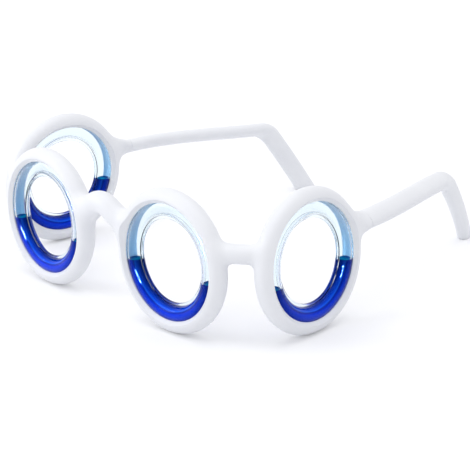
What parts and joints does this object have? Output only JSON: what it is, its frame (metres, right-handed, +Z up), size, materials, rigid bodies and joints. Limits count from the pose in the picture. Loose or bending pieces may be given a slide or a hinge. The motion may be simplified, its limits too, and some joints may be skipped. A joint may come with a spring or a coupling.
{
  "type": "motion sickness glasses",
  "caption": "Lensless glasses made of round white ring rims, front and side, each holding a clear ring tube half full of blue liquid, with plug-in arms that bend down at the ears.",
  "frame": {"origin": "centre of the bounding box in X and Y, on the ground plane under the rims and arm tips", "axes": "+Z up, +X towards the wearer's left, -Y the way the wearer looks"},
  "size_m": [0.1508, 0.1518, 0.0518],
  "materials": {
    "white_shell": "soft satin",
    "clear_tube": "clear and glossy",
    "blue_liquid": "wet"
  },
  "bodies": {
    "frame": {"front_left_housing": "white_shell", "front_right_housing": "white_shell", "side_left_housing": "white_shell", "side_right_housing": "white_shell", "nose_bridge": "white_shell", "left_side_bar": "white_shell", "right_side_bar": "white_shell", "left_arm_socket": "white_shell", "right_arm_socket": "white_shell", "front_left_capsule_outer": "clear_tube", "front_right_capsule_outer": "clear_tube", "side_left_capsule_outer": "clear_tube", "side_right_capsule_outer": "clear_tube", "front_left_capsule_inner": "clear_tube", "front_right_capsule_inner": "clear_tube", "side_left_capsule_inner": "clear_tube", "side_right_capsule_inner": "clear_tube", "front_left_fill_plug": "clear_tube", "front_right_fill_plug": "clear_tube", "side_left_fill_plug": "clear_tube", "side_right_fill_plug": "clear_tube"},
    "left_arm": {"left_arm": "white_shell"},
    "right_arm": {"right_arm": "white_shell"},
    "front_left_liquid": {"front_left_liquid": "blue_liquid"},
    "front_right_liquid": {"front_right_liquid": "blue_liquid"},
    "side_left_liquid": {"side_left_liquid": "blue_liquid"},
    "side_right_liquid": {"side_right_liquid": "blue_liquid"}
  },
  "joints": [
    {"name": "front_left_liquid_swing", "type": "hinge", "parent": "frame", "child": "front_left_liquid", "pos_m": [0.0348, -0.06962, 0.02589], "axis": [0.0419, -0.9986, 0.0314], "continuous": true},
    {"name": "front_right_liquid_swing", "type": "hinge", "parent": "frame", "child": "front_right_liquid", "pos_m": [-0.0348, -0.06962, 0.02589], "axis": [-0.0419, -0.9986, 0.0314], "continuous": true},
    {"name": "side_left_liquid_swing", "type": "hinge", "parent": "frame", "child": "side_left_liquid", "pos_m": [0.0692, -0.03742, 0.02586], "axis": [0.9944, 0.0852, 0.0628], "continuous": true},
    {"name": "side_right_liquid_swing", "type": "hinge", "parent": "frame", "child": "side_right_liquid", "pos_m": [-0.0692, -0.03742, 0.02586], "axis": [-0.9944, 0.0852, 0.0628], "continuous": true},
    {"name": "left_arm_pull", "type": "slide", "parent": "frame", "child": "left_arm", "axis": [-0.0698, 0.9976, 0], "range_m": [0, 0.01]},
    {"name": "right_arm_pull", "type": "slide", "parent": "frame", "child": "right_arm", "axis": [0.0698, 0.9976, 0], "range_m": [0, 0.01]}
  ]
}
